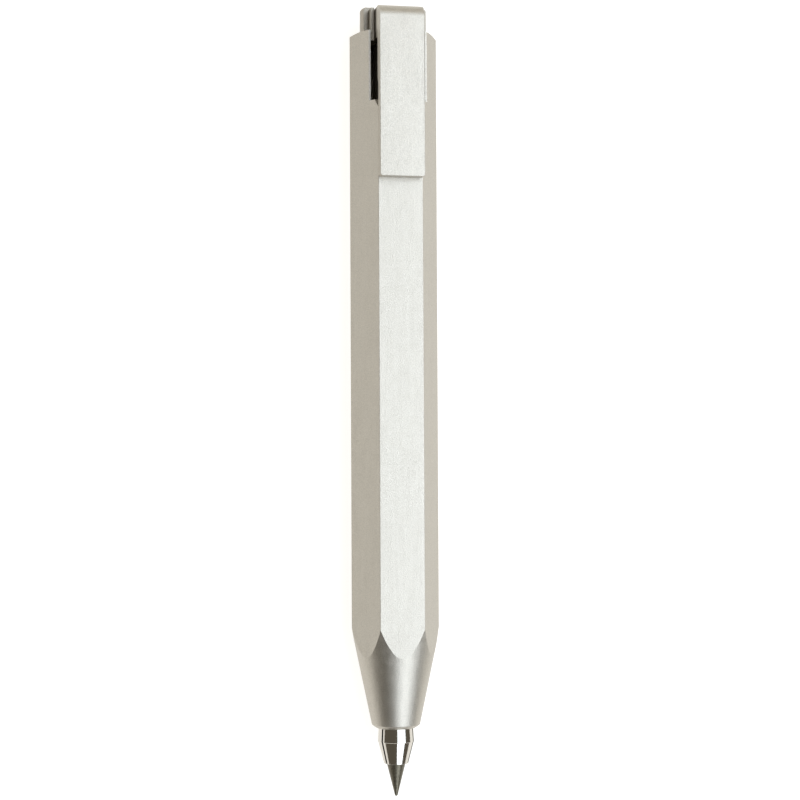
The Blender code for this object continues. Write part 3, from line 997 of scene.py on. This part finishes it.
class LEAD_HOLDER_OT_stage(Operator):
    """Glowing white table, two softboxes, a dim warm room and the camera"""
    bl_idname = "lead_holder.set_stage"
    bl_label = "Stage"

    def table(self, glow):
        """Large pale table that also gives light, so that no hard shadow shows."""
        bm = bmesh.new()
        half = TABLE_HALF
        corners = [(-half, -half), (half, -half), (half, half), (-half, half)]
        bm.faces.new([bm.verts.new((x, y, 0.0)) for x, y in corners])
        floor = new_piece("floor", bm)
        material = bpy.data.materials.new("opal_table")
        material.use_nodes = True
        shader = material.node_tree.nodes["Principled BSDF"]
        shader.inputs["Base Color"].default_value = TABLE_COLOUR
        shader.inputs["Roughness"].default_value = 0.9
        shader.inputs["Specular IOR Level"].default_value = 0.1
        shader.inputs["Emission Color"].default_value = TABLE_GLOW
        shader.inputs["Emission Strength"].default_value = glow
        floor.data.materials.append(material)

    def softbox(self, name, size, radiance, colour, lean=0.0, rear=0.0, slide=0.0):
        """Rectangular light aimed at the middle of the holder.

        lean is its angle from straight up to +X, rear its angle from straight up to +Y, and slide
        how far it then moves along its own length.
        """
        width, length = size
        light = bpy.data.lights.new(name, "AREA")
        light.shape = "RECTANGLE"
        light.size = width
        light.size_y = length
        light.energy = radiance * math.pi * width * length
        light.color = colour
        lamp = bpy.data.objects.new(name, light)
        turn = Matrix.Rotation(lean, 4, "Y") @ Matrix.Rotation(-rear, 4, "X")
        lamp.matrix_world = (Matrix.Translation((0, 0, AXIS_Z)) @ turn
                             @ Matrix.Translation((0, slide, LIGHT_DISTANCE)))
        bpy.context.scene.collection.objects.link(lamp)

    def camera(self, stage):
        """Camera above the holder, leaning to -X, with the button end at the top."""
        data = bpy.data.cameras.new("camera")
        data.sensor_width = 36.0
        data.angle = 2 * math.atan(stage.frame_height / 2 / stage.camera_distance)
        data.clip_start = 0.01
        camera = bpy.data.objects.new("camera", data)
        lean = stage.camera_lean
        away = Vector((-math.sin(lean), 0, math.cos(lean)))
        right = Vector((math.cos(lean), 0, math.sin(lean)))
        foot = place(0, stage.foot_station, 0)
        offset = right * stage.side_step
        eye = foot + offset + away * stage.camera_distance
        target = place(0, stage.aim_station, 0) + offset
        back = (eye - target).normalized()
        side = Vector((0, 1, 0)).cross(back).normalized()
        up = back.cross(side)
        turn = Matrix((side, up, back)).transposed().to_4x4()
        turn.translation = eye
        camera.matrix_world = turn @ Matrix.Rotation(stage.camera_roll, 4, "Z")
        bpy.context.scene.collection.objects.link(camera)
        bpy.context.scene.camera = camera

    def execute(self, context):
        stage = context.scene.holder_stage
        self.table(stage.floor_glow)
        self.softbox("key_softbox", KEY_SIZE, stage.key_light, KEY_COLOUR, lean=KEY_LEAN,
                     slide=KEY_SLIDE)
        self.softbox("rear_softbox", REAR_SIZE, stage.rear_light, REAR_COLOUR, rear=REAR_TILT)
        world = bpy.data.worlds.new("room")
        context.scene.world = world
        world.use_nodes = True
        background = world.node_tree.nodes["Background"]
        background.inputs["Color"].default_value = ROOM_COLOUR
        background.inputs["Strength"].default_value = stage.room_light
        context.scene.view_settings.view_transform = "Standard"
        self.camera(stage)
        return {"FINISHED"}


# ---------------------------------------------------------------- panel

class LEAD_HOLDER_PT_panel(Panel):
    """Lists the holder's pieces in the sidebar"""
    bl_idname = "LEAD_HOLDER_PT_panel"
    bl_label = "Lead holder"
    bl_space_type = "VIEW_3D"
    bl_region_type = "UI"
    bl_category = "Lead holder"

    def draw(self, context):
        scene = context.scene
        for group in (scene.holder_sizes, scene.holder_colours, scene.holder_stage):
            column = self.layout.column(align=True)
            for name in group.__annotations__:
                column.prop(group, name)
        for piece in PIECES:
            self.layout.operator(piece.bl_idname)


PIECES = (
    LEAD_HOLDER_OT_barrel, LEAD_HOLDER_OT_clip, LEAD_HOLDER_OT_button, LEAD_HOLDER_OT_jaws,
    LEAD_HOLDER_OT_lead, LEAD_HOLDER_OT_tubes, LEAD_HOLDER_OT_rings, LEAD_HOLDER_OT_spring,
    LEAD_HOLDER_OT_stage,
)
CLASSES = (HolderSizes, HolderColours, HolderStage, *PIECES, LEAD_HOLDER_PT_panel)


def register():
    for kind in CLASSES:
        bpy.utils.register_class(kind)
    bpy.types.Scene.holder_sizes = PointerProperty(type=HolderSizes)
    bpy.types.Scene.holder_colours = PointerProperty(type=HolderColours)
    bpy.types.Scene.holder_stage = PointerProperty(type=HolderStage)


def unregister():
    del bpy.types.Scene.holder_stage
    del bpy.types.Scene.holder_colours
    del bpy.types.Scene.holder_sizes
    for kind in reversed(CLASSES):
        bpy.utils.unregister_class(kind)


def main():
    register()
    bpy.ops.lead_holder.make_barrel()
    bpy.ops.lead_holder.make_clip()
    bpy.ops.lead_holder.make_button()
    bpy.ops.lead_holder.make_jaws()
    bpy.ops.lead_holder.make_lead()
    bpy.ops.lead_holder.make_tubes()
    bpy.ops.lead_holder.make_rings()
    bpy.ops.lead_holder.make_spring()
    bpy.ops.lead_holder.set_stage()


if __name__ == "__main__":
    main()
